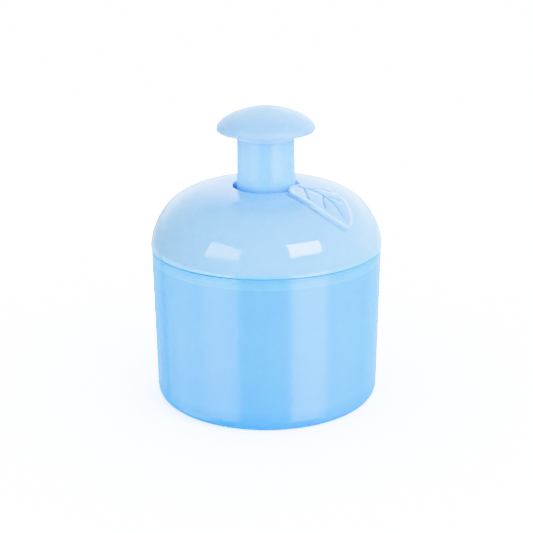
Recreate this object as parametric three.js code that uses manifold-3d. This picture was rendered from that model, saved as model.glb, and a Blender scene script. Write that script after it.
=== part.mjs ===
// Hand foam maker: a push-to-foam cup for face wash.
// A translucent cup is closed by a domed push-fit lid. A mushroom knob on a hollow stem slides
// down through the lid against a spring and drives a netted disc up and down inside the cup,
// which beats cleanser and water to foam.
//
// Millimetres, +Z up. The origin is the centre of the cup's foot ring, on the surface it stands on.
// Azimuth is measured from +X towards +Y.
import * as THREE from "three";
import { mergeVertices } from "three/addons/utils/BufferGeometryUtils.js";
import Module from "manifold-3d";

// ---------------------------------------------------------------- driving dimensions
const SEG = 48; // facets round the axis, the same on every turned piece so that they nest
const GAP = 0.3; // gap between pieces that touch

// cup
const SEAM_Z = 54.6; // cup rim
const CUP_R = 39.8; // outside radius at the rim
const CUP_BASE_R = 38.8; // outside radius just above the bottom corner
const CUP_CORNER_Z = 4.6;
const FOOT_R = 34.9; // outer edge of the flat foot ring
const FOOT_IN_R = 29.0;
const FOOT_RECESS = 0.8;
const FLOOR_Z = 2.4;
const LEDGE_Z = 50.3; // the lid's plug drops in as far as this
const RECESS_R = 38.45; // inside radius above the ledge
const BORE_TOP_R = 37.6; // inside radius below the ledge
const BORE_BASE_R = 36.7;

// lid
const DOME_R = 40.05;
const DOME_Z = SEAM_Z + GAP; // lower edge of the dome
const HOLE_R = 11.5; // hole the stem passes through
const HOLE_Z = 75.8; // top of the dome at the hole
const COLLAR_R = 13.4; // tube moulded round the hole, inside the dome
const COLLAR_Z = 70.0;
const DOME_T = 1.8;
const PLUG_R = 38.1;
const PLUG_T = 1.8;
const PLATE_Z = LEDGE_Z + GAP;
const PLATE_T = 1.7;
const PLUG_TOP_Z = 58.6;
const GUIDE_R = 6.2;
const GUIDE_TOP_Z = 66.0;

// plunger
const STROKE = 15.0; // travel of the knob
const STEM_R = 10.05; // at the foot; it is drafted to STEM_TOP_R
const STEM_TOP_R = 9.85;
const STEM_IN_R = 8.65;
const STEM_FLANGE_R = 13.0;
const STEM_Z = COLLAR_Z - 1.8; // underside of the stem's flange, knob up
const KNOB_Z = 92.35; // lower edge of the knob's collar
const KNOB_COLLAR_R = 10.1;
const KNOB_RIM_Z = 95.5; // widest level of the knob
const KNOB_T = 1.8;
const KNOB_RIM_IN_R = 15.2;
const SEAT_Z = 86.8; // the spring bears up against this
const BOSS_Z = 83.0;
const ROD_R = 4.2;
const ROD_WEB = 2.0;
const ROD_TOP_Z = 94.0;
const ROD_CLEAR = 0.35;

// foaming disc
const DISC_R = 34.5;
const DISC_Z = 21.3; // underside of the lower frame, knob up
const STUD_R = 2.8;
const HUB_R = 9.0;

// spring
const WIRE_R = 0.5;
const COIL_R = 7.45;
const COILS = 8.5;

// leaf in relief on the dome: outline, midrib and veins in plan, U outward along LEAF_AZ, V square to it
const LEAF_AZ = (-46 * Math.PI) / 180;
const LEAF_H = 0.75;
const LEAF_RIM_H = 0.35;
const LEAF_RIM_W = 1.7;
const LEAF = [
  [9.0, 2.5], [10.6, 0.2], [12.9, -2.4], [15.8, -4.3], [20.3, -5.0], [25.8, -5.2], [30.3, -4.1],
  [33.5, -1.9], [35.6, 0.0], [36.6, 1.8], [36.4, 3.6], [35.2, 5.7], [33.0, 8.0], [30.2, 10.1],
  [26.7, 11.6], [22.6, 12.0], [18.4, 11.2], [14.3, 9.0], [11.4, 6.6], [9.5, 4.6],
];
const MIDRIB = [[11.5, 3.6], [17.0, 4.5], [23.2, 4.6], [28.4, 4.2], [33.2, 3.4]];
const VEINS = [
  [[15.2, 4.2], [19.4, 0.8], [23.2, -2.4]],
  [[15.6, 4.3], [18.0, 7.8], [21.4, 10.0]],
  [[23.6, 4.6], [26.8, 1.2], [29.4, -1.4]],
  [[23.8, 4.6], [25.6, 7.2], [28.2, 8.9]],
];
const VEIN_W = 0.6;
const VEIN_DEPTH = 0.4;

// ---------------------------------------------------------------- solids
const wasm = await Module();
wasm.setup();

function solid(geometry) {
  const g = geometry.index ? geometry.toNonIndexed() : geometry.clone();
  for (const name of Object.keys(g.attributes)) if (name !== "position") g.deleteAttribute(name);
  const merged = mergeVertices(g, 1e-4);
  const p = merged.attributes.position.array;
  const t = merged.index.array;
  let volume = 0;
  for (let i = 0; i < t.length; i += 3) {
    const a = 3 * t[i], b = 3 * t[i + 1], c = 3 * t[i + 2];
    volume +=
      p[a] * (p[b + 1] * p[c + 2] - p[b + 2] * p[c + 1]) -
      p[a + 1] * (p[b] * p[c + 2] - p[b + 2] * p[c]) +
      p[a + 2] * (p[b] * p[c + 1] - p[b + 1] * p[c]);
  }
  const tri = [];
  for (let i = 0; i < t.length; i += 3) {
    const [a, b, c] = volume < 0 ? [t[i], t[i + 2], t[i + 1]] : [t[i], t[i + 1], t[i + 2]];
    if (a !== b && b !== c && a !== c) tri.push(a, b, c);
  }
  return new wasm.Manifold(
    new wasm.Mesh({ numProp: 3, vertProperties: new Float32Array(p), triVerts: new Uint32Array(tri) }),
  );
}

function geometryOf(s) {
  const m = s.getMesh();
  const v = new Float32Array(m.numVert * 3);
  for (let i = 0; i < m.numVert; i++)
    v.set(m.vertProperties.subarray(i * m.numProp, i * m.numProp + 3), i * 3);
  const g = new THREE.BufferGeometry();
  g.setAttribute("position", new THREE.BufferAttribute(v, 3));
  g.setIndex(new THREE.BufferAttribute(new Uint32Array(m.triVerts), 1));
  return g;
}

const join = (...solids) => solids.reduce((a, b) => a.add(b));

// A profile of [radius, z] turned about Z. The profile closes on itself.
function turned(profile, seg = SEG) {
  const points = [...profile, profile[0]].map(([r, z]) => new THREE.Vector2(r, z));
  const g = new THREE.LatheGeometry(points, seg);
  g.rotateX(Math.PI / 2);
  return solid(g);
}

const ringPoints = (r, seg = SEG) =>
  Array.from({ length: seg }, (_, i) => {
    const a = (2 * Math.PI * i) / seg;
    return new THREE.Vector2(r * Math.cos(a), r * Math.sin(a));
  });

// A flat outline with holes, from z up by height.
function plate(outline, holes, z, height) {
  const shape = new THREE.Shape(outline);
  for (const h of holes) shape.holes.push(new THREE.Path(h));
  const g = new THREE.ExtrudeGeometry(shape, { depth: height, bevelEnabled: false });
  g.translate(0, 0, z);
  return solid(g);
}

// The outline of a cross of two webs, web thick, that fits in a circle of radius r.
function cross(r, web) {
  const h = web / 2;
  return [
    [r, -h], [r, h], [h, h], [h, r], [-h, r], [-h, h],
    [-r, h], [-r, -h], [-h, -h], [-h, -r], [h, -r], [h, -h],
  ].map(([x, y]) => new THREE.Vector2(x, y));
}

// Windows between spokes, each between two radii.
function windows(spokes, web, bands, turn = 0) {
  const found = [];
  for (const [r0, r1] of bands)
    for (let k = 0; k < spokes; k++) {
      const mid = turn + (2 * Math.PI * (k + 0.5)) / spokes;
      const half = (r) => Math.PI / spokes - Math.asin(web / 2 / r);
      const n = r1 > 20 ? 3 : 2;
      const out = [];
      for (let i = 0; i <= n; i++) {
        const a = mid - half(r1) + (2 * half(r1) * i) / n;
        out.push(new THREE.Vector2(r1 * Math.cos(a), r1 * Math.sin(a)));
      }
      for (let i = n; i >= 0; i--) {
        const a = mid - half(r0) + (2 * half(r0) * i) / n;
        out.push(new THREE.Vector2(r0 * Math.cos(a), r0 * Math.sin(a)));
      }
      found.push(out);
    }
  return found;
}

// The knob's crown, from its rim to its centre.
const CROWN = [
  [16.66, KNOB_RIM_Z], [16.5, 96.38], [16.2, 97.0], [15.6, 97.77], [14.6, 98.64], [13.2, 99.54],
  [11.5, 100.39], [9.6, 101.15], [7.4, 101.87], [5.0, 102.51], [2.5, 102.95], [0.001, 103.1],
];

// ---------------------------------------------------------------- the dome's outer curve, rim to hole
const DOME = [
  [DOME_R, DOME_Z], [40.0, 56.8], [39.6, 59.2], [38.6, 62.0], [37.1, 64.8], [35.2, 67.4],
  [32.9, 69.7], [30.0, 71.9], [26.6, 73.7], [22.6, 74.9], [17.5, 75.55], [HOLE_R, HOLE_Z],
];

// That curve moved square to itself by d, outward if d is positive.
function offsetCurve(curve, d) {
  return curve.map(([r, z], i) => {
    const [r0, z0] = curve[Math.max(0, i - 1)];
    const [r1, z1] = curve[Math.min(curve.length - 1, i + 1)];
    const l = Math.hypot(r1 - r0, z1 - z0);
    return [r + (d * (z1 - z0)) / l, z - (d * (r1 - r0)) / l];
  });
}

// ---------------------------------------------------------------- cup
function makeCup() {
  return turned([
    [0.001, FOOT_RECESS], [FOOT_IN_R, FOOT_RECESS], [FOOT_IN_R + 0.8, 0], [FOOT_R, 0],
    [36.6, 0.45], [37.9, 1.6], [38.55, 3.0], [CUP_BASE_R, CUP_CORNER_Z],
    [CUP_R, SEAM_Z], [RECESS_R, SEAM_Z], [RECESS_R, LEDGE_Z], [BORE_TOP_R, LEDGE_Z],
    [BORE_BASE_R, 7.4], [35.9, 4.6], [34.6, 3.1], [32.4, FLOOR_Z], [0.001, FLOOR_Z],
  ]);
}

// ---------------------------------------------------------------- lid
function makeDome() {
  const inner = offsetCurve(DOME, -DOME_T).filter(([r, z]) => z > 59.4 && r < 37.2 && r > COLLAR_R);
  const shell = turned([
    ...DOME,
    [HOLE_R, COLLAR_Z], [COLLAR_R, COLLAR_Z], [COLLAR_R, HOLE_Z - DOME_T],
    ...inner.reverse(),
    // the plug's top edge seats under this step, and the bead below it holds the plug in
    [37.0, PLUG_TOP_Z + GAP], [38.35, PLUG_TOP_Z + GAP], [38.35, 56.9],
    [37.95, 56.5], [37.95, 56.1], [38.35, 55.7], [38.35, DOME_Z],
  ]);
  // leaf: the shell's skin raised inside the leaf's outline, higher along its edge, veins cut in
  const place = (u, v) =>
    new THREE.Vector2(
      u * Math.cos(LEAF_AZ) - v * Math.sin(LEAF_AZ),
      u * Math.sin(LEAF_AZ) + v * Math.cos(LEAF_AZ),
    );
  const curve = new THREE.CatmullRomCurve3(LEAF.map(([u, v]) => new THREE.Vector3(u, v, 0)), true);
  const outline = curve.getSpacedPoints(28).slice(0, -1).map((p) => place(p.x, p.y));
  const inset = outline.map((p, i) => {
    const a = outline[(i + outline.length - 1) % outline.length];
    const b = outline[(i + 1) % outline.length];
    const n = new THREE.Vector2(a.y - b.y, b.x - a.x).normalize().multiplyScalar(LEAF_RIM_W);
    return p.clone().add(n);
  });
  // everything under the dome's outer curve raised by d
  const under = (d) =>
    turned([[0.001, 40], [DOME_R + d, 40], ...offsetCurve(DOME, d), [0.001, HOLE_Z + d]]);
  let leaf = under(LEAF_H)
    .intersect(plate(outline, [], 55, 30))
    .add(under(LEAF_H + LEAF_RIM_H).intersect(plate(outline, [inset], 55, 30)));
  const groove = under(LEAF_H - VEIN_DEPTH);
  for (const line of [MIDRIB, ...VEINS])
    for (let i = 1; i < line.length; i++) {
      const a = place(...line[i - 1]), b = place(...line[i]);
      const along = b.clone().sub(a).normalize().multiplyScalar(VEIN_W / 2);
      const n = new THREE.Vector2(-along.y, along.x);
      a.sub(along);
      b.add(along);
      const cut = [a.clone().add(n), a.clone().sub(n), b.clone().sub(n), b.clone().add(n)];
      leaf = leaf.subtract(plate(cut, [], 55, 30).subtract(groove));
    }
  const bore = plate(ringPoints(HOLE_R), [], 40, 60);
  return shell.add(leaf.subtract(under(-DOME_T / 2)).subtract(bore));
}

function makePlug() {
  const body = turned([
    [GUIDE_R - 4, PLATE_Z], [PLUG_R - 0.5, PLATE_Z], [PLUG_R, PLATE_Z + 0.5],
    [PLUG_R, 52.2], [37.1, 52.2], [37.1, 53.6], [PLUG_R, 53.6],
    [PLUG_R, 55.4], [37.6, 55.8], [37.6, 56.9], [PLUG_R, 57.3], [PLUG_R, PLUG_TOP_Z],
    [PLUG_R - PLUG_T, PLUG_TOP_Z], [PLUG_R - PLUG_T, PLATE_Z + PLATE_T],
    [GUIDE_R, PLATE_Z + PLATE_T], [GUIDE_R, GUIDE_TOP_Z], [GUIDE_R - 4, GUIDE_TOP_Z],
  ]);
  const core = plate(ringPoints(3.0), [], PLATE_Z, GUIDE_TOP_Z - PLATE_Z);
  const bore = plate(cross(ROD_R + ROD_CLEAR, ROD_WEB + 2 * ROD_CLEAR), [], PLATE_Z - 1, 40);
  let s = body.add(core).subtract(bore);
  for (let k = 0; k < 6; k++) {
    const g = new THREE.BoxGeometry(21.8, 1.4, 3.6 + 0.4);
    g.translate(15.0 + 10.9, 0, PLATE_Z + PLATE_T + 1.6);
    g.rotateZ(((k + 0.5) * Math.PI) / 3);
    s = s.add(solid(g));
  }
  return s;
}

const makeSeal = () =>
  turned([[37.35, 52.45], [38.1, 52.45], [38.3, 52.9], [38.1, 53.35], [37.35, 53.35]]);

// ---------------------------------------------------------------- spring
class Coil extends THREE.Curve {
  constructor(z0, z1) {
    super();
    this.z0 = z0;
    this.z1 = z1;
  }
  getPoint(t, target = new THREE.Vector3()) {
    // the end coils lie almost flat, the ones between share the height
    const n = t * COILS;
    const flat = 1.0;
    const lie = 0.35 * WIRE_R * 4;
    const rise = (this.z1 - this.z0 - 2 * lie) / (COILS - 2 * flat);
    let z;
    if (n < flat) z = this.z0 + (lie * n) / flat;
    else if (n > COILS - flat) z = this.z1 - (lie * (COILS - n)) / flat;
    else z = this.z0 + lie + rise * (n - flat);
    const a = 2 * Math.PI * n;
    return target.set(COIL_R * Math.cos(a), COIL_R * Math.sin(a), z);
  }
}

function makeSpring() {
  const lo = PLATE_Z + PLATE_T + GAP + WIRE_R;
  const hi = SEAT_Z - GAP - WIRE_R;
  const section = new THREE.Shape(ringPoints(WIRE_R, 6));
  const g = new THREE.ExtrudeGeometry(section, {
    steps: 122,
    bevelEnabled: false,
    extrudePath: new Coil(lo, hi),
  });
  return solid(g);
}

// ---------------------------------------------------------------- plunger
const makeStem = () =>
  turned(
    [
      [STEM_IN_R, STEM_Z], [STEM_FLANGE_R, STEM_Z], [STEM_FLANGE_R, STEM_Z + 1.5],
      [STEM_R, STEM_Z + 1.5], [STEM_TOP_R, KNOB_Z - GAP], [STEM_IN_R, KNOB_Z - GAP],
    ],
    SEG,
  );

function makeKnob() {
  const inner = offsetCurve(CROWN, -KNOB_T).filter(([r, z]) => r > 11.4 && z > KNOB_RIM_Z + 0.2);
  return turned([
    ...CROWN,
    // inside: ceiling over the rod, boss that grips it, spring seat, spigot in the stem
    [0.001, ROD_TOP_Z + GAP], [4.55, ROD_TOP_Z + GAP], [4.55, BOSS_Z], [6.0, BOSS_Z],
    [6.0, SEAT_Z], [8.3, SEAT_Z], [8.3, KNOB_Z],
    [KNOB_COLLAR_R, KNOB_Z], [KNOB_COLLAR_R, 97.6], [11.0, 98.7],
    ...inner.reverse(),
    [KNOB_RIM_IN_R, KNOB_RIM_Z - 0.45], [16.1, KNOB_RIM_Z - 0.6],
  ]);
}

function makeRod() {
  const z0 = DISC_Z + 6.2; // underside of the flange on the disc
  const web = plate(cross(ROD_R, ROD_WEB), [], z0 + 0.5, ROD_TOP_Z - 7 - z0);
  const head = plate(ringPoints(ROD_R, 24), [], ROD_TOP_Z - 8, 8);
  const flange = turned([[0.001, z0], [7, z0], [7, z0 + 1.2], [5, z0 + 1.9], [0.001, z0 + 1.9]], 24);
  const stud = plate(ringPoints(STUD_R, 16), [], DISC_Z - 3.1, z0 - DISC_Z + 3.6);
  return join(web, head, flange, stud);
}

const BANDS = [[HUB_R, 15.6], [17.2, 23.8], [25.4, 31.6]];
const bore = (r = STUD_R + 0.35, seg = 16) => ringPoints(r, seg);

const makeLowerFrame = () =>
  join(
    plate(ringPoints(DISC_R), [...windows(8, 1.8, BANDS), bore()], DISC_Z, 1.6),
    turned([[33.4, DISC_Z + 1.2], [DISC_R, DISC_Z + 1.2], [DISC_R, DISC_Z + 3.8], [33.4, DISC_Z + 3.8]]),
  );
const makeUpperFrame = () =>
  plate(ringPoints(DISC_R), [...windows(8, 1.8, BANDS), bore()], DISC_Z + 4.1, 1.8);
const makeNet = (z) => plate(ringPoints(33.0), [bore()], z, 0.3);
const makeSpacer = () =>
  plate(ringPoints(33.0), [...windows(8, 1.8, BANDS), bore()], DISC_Z + 2.4, 0.9);

function makeNut() {
  const lobes = Array.from({ length: 24 }, (_, i) => {
    const a = (2 * Math.PI * i) / 24;
    const r = i % 2 ? 7.4 : 8.0;
    return new THREE.Vector2(r * Math.cos(a), r * Math.sin(a));
  });
  return plate(lobes, [bore()], DISC_Z - 3.1, 2.8);
}

// ---------------------------------------------------------------- assembly
const PALE = new THREE.MeshStandardMaterial({ color: 0xbcdcf7, roughness: 0.22, metalness: 0 });
const BLUE = new THREE.MeshStandardMaterial({ color: 0x86c8fb, roughness: 0.35, metalness: 0 });
const STEEL = new THREE.MeshStandardMaterial({ color: 0xb9bcc2, roughness: 0.3, metalness: 1 });
const SILICONE = new THREE.MeshStandardMaterial({ color: 0xe9edf0, roughness: 0.6, metalness: 0 });
const NET = new THREE.MeshStandardMaterial({ color: 0xf2f6fa, roughness: 0.5, metalness: 0 });

const foamMaker = new THREE.Group();
const lid = new THREE.Group();
const plunger = new THREE.Group();
foamMaker.add(lid);
lid.add(plunger);

function piece(group, name, s, material) {
  const mesh = new THREE.Mesh(geometryOf(s), material);
  mesh.name = name;
  group.add(mesh);
}

piece(foamMaker, "cup", makeCup(), BLUE);

piece(lid, "lid_dome", makeDome(), PALE);
piece(lid, "lid_plug", makePlug(), BLUE);
piece(lid, "lid_seal_ring", makeSeal(), SILICONE);
piece(lid, "return_spring", makeSpring(), STEEL);

piece(plunger, "knob_cap", makeKnob(), PALE);
piece(plunger, "stem_tube", makeStem(), BLUE);
piece(plunger, "plunger_rod", makeRod(), BLUE);
piece(plunger, "disc_upper_frame", makeUpperFrame(), BLUE);
piece(plunger, "foam_net_upper", makeNet(DISC_Z + 3.55), NET);
piece(plunger, "net_spacer", makeSpacer(), BLUE);
piece(plunger, "foam_net_lower", makeNet(DISC_Z + 1.85), NET);
piece(plunger, "disc_lower_frame", makeLowerFrame(), BLUE);
piece(plunger, "disc_nut", makeNut(), BLUE);

export default foamMaker;
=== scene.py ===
import math
import random

import bmesh
import bpy
import numpy as np
from mathutils import Matrix, Vector


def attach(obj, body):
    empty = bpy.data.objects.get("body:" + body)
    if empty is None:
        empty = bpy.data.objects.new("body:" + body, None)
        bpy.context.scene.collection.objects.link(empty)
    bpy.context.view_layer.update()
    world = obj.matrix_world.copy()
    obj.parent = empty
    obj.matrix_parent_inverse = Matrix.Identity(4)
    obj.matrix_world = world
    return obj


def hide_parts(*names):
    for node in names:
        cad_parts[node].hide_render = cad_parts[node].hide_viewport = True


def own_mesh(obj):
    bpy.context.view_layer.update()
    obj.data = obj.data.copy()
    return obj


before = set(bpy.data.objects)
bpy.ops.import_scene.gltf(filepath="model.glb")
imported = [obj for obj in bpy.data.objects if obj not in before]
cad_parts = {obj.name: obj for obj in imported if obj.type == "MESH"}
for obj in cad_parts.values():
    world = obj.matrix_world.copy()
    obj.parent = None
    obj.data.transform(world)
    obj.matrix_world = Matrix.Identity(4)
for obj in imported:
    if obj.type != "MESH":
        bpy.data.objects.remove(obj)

# The hand foam maker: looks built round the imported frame. Lengths below are in millimetres, in the
# row frame, and become metres when a mesh is made.
MM = 0.001
random.seed(7)


# ------------------------------------------------------------------ sizes, as in the CAD source
GAP = 0.3
SEAM_Z = 54.6
LEDGE_Z = 50.3
DOME_Z = SEAM_Z + GAP
HOLE_R, COLLAR_R, COLLAR_Z = 11.5, 13.4, 70.0
PLATE_Z, PLATE_T, PLUG_R, PLUG_T, PLUG_TOP_Z = 50.6, 1.7, 38.1, 1.8, 58.6
GUIDE_R, GUIDE_TOP_Z = 6.2, 66.0
STEM_R, STEM_TOP_R, STEM_IN_R, STEM_Z = 10.05, 9.85, 8.65, 68.2
KNOB_Z, KNOB_RIM_Z, SEAT_Z, BOSS_Z, ROD_TOP_Z = 92.35, 95.5, 86.8, 83.0, 94.0
ROD_R, ROD_WEB, ROD_CLEAR, STUD_R = 4.2, 2.0, 0.35, 2.8
KNOB_R = 16.9
DISC_R, DISC_Z, HUB_R = 34.5, 21.3, 9.0
BANDS = [(HUB_R, 15.6), (17.2, 23.8), (25.4, 31.6)]
SPOKES, SPOKE_W = 8, 1.8
WIRE_R, COIL_R, COILS = 0.5, 7.45, 8.5


# ------------------------------------------------------------------ mesh tools
def add_object(name, me):
    ob = bpy.data.objects.new(name, me)
    bpy.context.scene.collection.objects.link(ob)
    return ob


def mesh_from(name, verts_mm, faces, smooth=True):
    me = bpy.data.meshes.new(name)
    v = np.asarray(verts_mm, float) * MM
    me.from_pydata(v.tolist(), [], faces)
    me.validate()
    if smooth:
        me.shade_smooth()
    return add_object(name, me)


def rounded(points, arc=5, step=3.0, closed=True, support=0.16):
    """A 2D outline with its corners rounded. A point is (x, y) or (x, y, radius). Long straight
    runs get points near their ends, which keep their shading flat."""
    n = len(points)
    out = []
    for i in range(n):
        p = np.array(points[i][:2], float)
        rad = points[i][2] if len(points[i]) > 2 else 0.0
        if rad <= 0 or (not closed and i in (0, n - 1)):
            out.append((p, rad > 0))
            continue
        a = np.array(points[i - 1][:2], float)
        b = np.array(points[(i + 1) % n][:2], float)
        u, v = a - p, b - p
        lu, lv = np.linalg.norm(u), np.linalg.norm(v)
        u, v = u / lu, v / lv
        ang = math.acos(max(-1.0, min(1.0, float(u @ v))))
        if math.pi - ang < 0.02:
            out.append((p, False))
            continue
        t = min(rad / math.tan(ang / 2), 0.48 * lu, 0.48 * lv)
        r = t * math.tan(ang / 2)
        w = (u + v) / np.linalg.norm(u + v)
        c = p + w * (r / math.sin(ang / 2))
        s, e = p + u * t - c, p + v * t - c
        a0 = math.atan2(s[1], s[0])
        d = math.atan2(e[1], e[0]) - a0
        d = (d + math.pi) % (2 * math.pi) - math.pi
        for k in range(arc + 1):
            out.append((c + r * np.array([math.cos(a0 + d * k / arc), math.sin(a0 + d * k / arc)]), True))
    full = []
    m = len(out)
    for i in range(m if closed else m - 1):
        p, q = out[i][0], out[(i + 1) % m][0]
        full.append(p)
        length = np.linalg.norm(q - p)
        if length > 4 * support and length > 0.9:
            d = (q - p) / length
            stops = [support] + [length * k / max(1, round(length / step))
                                 for k in range(1, max(1, round(length / step)))] + [length - support]
            full += [p + d * s for s in stops]
    if not closed:
        full.append(out[-1][0])
    return np.array(full)


def signed_area(p):
    x, y = p[:, 0], p[:, 1]
    return 0.5 * float(np.sum(x * np.roll(y, -1) - np.roll(x, -1) * y))


def lathe(name, profile, seg=128, closed=True, angles=None):
    """A profile of (r, z) turned about Z. closed makes a ring; otherwise the profile's two ends lie
    on the axis."""
    p = np.array(profile, float)
    if signed_area(p) < 0:
        p = p[::-1]
    th = np.arange(seg) * 2 * math.pi / seg if angles is None else np.asarray(angles)
    seg = len(th)
    co, si = np.cos(th), np.sin(th)
    if closed:
        n = len(p)
        v = np.stack([p[:, 0:1] * co, p[:, 0:1] * si, np.repeat(p[:, 1:2], seg, 1)], -1).reshape(-1, 3)
        i, j = np.meshgrid(np.arange(n), np.arange(seg), indexing="ij")
        i2, j2 = (i + 1) % n, (j + 1) % seg
        f = np.stack([i * seg + j, i * seg + j2, i2 * seg + j2, i2 * seg + j], -1).reshape(-1, 4)
        return mesh_from(name, v, f.tolist())
    # from the axis at the bottom, out and round, back to the axis at the top
    mid = p[1:-1]
    n = len(mid)
    v = np.stack([mid[:, 0:1] * co, mid[:, 0:1] * si, np.repeat(mid[:, 1:2], seg, 1)], -1).reshape(-1, 3)
    v = np.vstack([v, [[0, 0, p[0, 1]], [0, 0, p[-1, 1]]]])
    i, j = np.meshgrid(np.arange(n - 1), np.arange(seg), indexing="ij")
    j2 = (j + 1) % seg
    f = np.stack([i * seg + j, i * seg + j2, (i + 1) * seg + j2, (i + 1) * seg + j], -1).reshape(-1, 4).tolist()
    a, b = n * seg, n * seg + 1
    f += [[a, (k + 1) % seg, k] for k in range(seg)]
    f += [[b, (n - 1) * seg + k, (n - 1) * seg + (k + 1) % seg] for k in range(seg)]
    return mesh_from(name, v, f)


def arc_points(cx, cy, rx, ry, a0, a1, n):
    """Points of an ellipse's arc from angle a0 to a1, in degrees."""
    t = np.radians(np.linspace(a0, a1, n))
    return [(cx + rx * math.cos(a), cy + ry * math.sin(a)) for a in t]


def prism(name, outlines, z, height, bevel=0.18, res=3):
    """A flat piece between z and z + height, with its outline first and its holes after it, and all
    its edges rounded by bevel."""
    cu = bpy.data.curves.new(name, "CURVE")
    cu.dimensions = "2D"
    cu.fill_mode = "BOTH"
    cu.extrude = (height / 2 - bevel) * MM
    cu.bevel_depth = bevel * MM
    cu.bevel_resolution = res
    cu.offset = -bevel * MM
    for pts in outlines:
        s = cu.splines.new("POLY")
        s.points.add(len(pts) - 1)
        flat = np.zeros((len(pts), 4), np.float32)
        flat[:, :2] = np.array(pts)[:, :2] * MM
        flat[:, 3] = 1
        s.points.foreach_set("co", flat.ravel())
        s.use_cyclic_u = True
    ob = add_object(name + "_curve", cu)
    bpy.context.view_layer.update()
    me = bpy.data.meshes.new_from_object(ob.evaluated_get(bpy.context.evaluated_depsgraph_get()))
    bpy.data.objects.remove(ob)
    bpy.data.curves.remove(cu)
    me.name = name
    me.transform(Matrix.Translation((0, 0, (z + height / 2) * MM)))
    bm = bmesh.new()
    bm.from_mesh(me)
    bmesh.ops.remove_doubles(bm, verts=bm.verts, dist=2e-6)
    bmesh.ops.dissolve_degenerate(bm, dist=1e-7, edges=bm.edges)
    bmesh.ops.recalc_face_normals(bm, faces=bm.faces)
    bm.to_mesh(me)
    bm.free()
    me.shade_smooth()
    me.set_sharp_from_angle(angle=math.radians(50))
    return add_object(name, me)


def boolean(ob, other, operation):
    """ob joined to or cut by other, with the result as ob's mesh. other goes away."""
    m = ob.modifiers.new("bool", "BOOLEAN")
    m.operation = operation
    m.solver = "EXACT"
    m.object = other
    bpy.context.view_layer.update()
    me = bpy.data.meshes.new_from_object(ob.evaluated_get(bpy.context.evaluated_depsgraph_get()))
    old = ob.data
    ob.modifiers.clear()
    ob.data = me
    me.name = old.name
    bpy.data.meshes.remove(old)
    bpy.data.objects.remove(other)
    return ob


def sharpen(ob, degrees=35):
    ob.data.shade_smooth()
    ob.data.set_sharp_from_angle(angle=math.radians(degrees))
    return ob


def ring_outline(r, n=96):
    a = np.arange(n) * 2 * math.pi / n
    return np.stack([r * np.cos(a), r * np.sin(a)], 1)


def cross_outline(r, web, fillet=0.25):
    h = web / 2
    pts = [(r, -h), (r, h), (h, h), (h, r), (-h, r), (-h, h), (-r, h), (-r, -h), (-h, -h), (-h, -r), (h, -r), (h, -h)]
    inner = {(h, h), (-h, h), (-h, -h), (h, -h)}
    return rounded([(x, y, fillet * (1.6 if (x, y) in inner else 1)) for x, y in pts], arc=4, support=0.1)


def window_outlines(corner=0.9):
    found = []
    for r0, r1 in BANDS:
        for k in range(SPOKES):
            mid = 2 * math.pi * (k + 0.5) / SPOKES
            half = lambda r: math.pi / SPOKES - math.asin(SPOKE_W / 2 / r)
            n = 14 if r1 > 20 else 9
            outer = [(r1 * math.cos(a), r1 * math.sin(a)) for a in np.linspace(mid - half(r1), mid + half(r1), n)]
            inner = [(r0 * math.cos(a), r0 * math.sin(a)) for a in np.linspace(mid + half(r0), mid - half(r0), n)]
            pts = [(*p, corner if i in (0, n - 1) else 0) for i, p in enumerate(outer)]
            pts += [(*p, corner if i in (0, n - 1) else 0) for i, p in enumerate(inner)]
            # the arc's own points next to a corner give way to the corner's radius
            keep = [q for i, q in enumerate(pts) if i % n not in (1, n - 2)]
            found.append(rounded(keep, arc=4, step=99, support=0.2))
    return found


# ------------------------------------------------------------------ curves of the outer shape
def dome_point(phi):
    """Dome's outer curve: phi from 0 at the lower edge to 90 degrees on the axis."""
    s = math.sin(phi) ** 2
    rho = 1 + 0.1082 * s + 0.5073 * s * s - 0.6318 * s ** 3
    return 40.05 * rho * math.cos(phi), DOME_Z + 20.95 * rho * math.sin(phi)


def dome_curve():
    """The outer curve from the lower edge to the hole, finely sampled, with the length along it: (length, r, z, nr,
    nz).
    """
    phi = np.linspace(0, math.radians(89.9), 6000)
    p = np.array([dome_point(a) for a in phi])
    d = np.gradient(p, axis=0)
    n = np.stack([d[:, 1], -d[:, 0]], 1)
    n /= np.linalg.norm(n, axis=1)[:, None]
    s = np.concatenate([[0], np.cumsum(np.linalg.norm(np.diff(p, axis=0), axis=1))])
    return s, p, n


DOME_S, DOME_P, DOME_N = dome_curve()
DOME_TOP_S = float(np.interp(-HOLE_R, -DOME_P[:, 0], DOME_S))  # length at which the curve meets the hole
DOME_POLE_S = DOME_S[-1]


def knob_z(r):
    """Height of the knob's crown at radius r."""
    R, H, p = KNOB_R, 7.9, 1.512
    if r < 5:
        c = (5 / R) ** (1 / p)
        s = math.sqrt(1 - c * c)
        k = H / (R * p) * c ** (2 - p) / s / 10
        return KNOB_RIM_Z + H * s + k * 25 - k * r * r
    c = min(1.0, (r / R) ** (1 / p))
    return KNOB_RIM_Z + H * math.sqrt(max(0.0, 1 - c * c))


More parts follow.
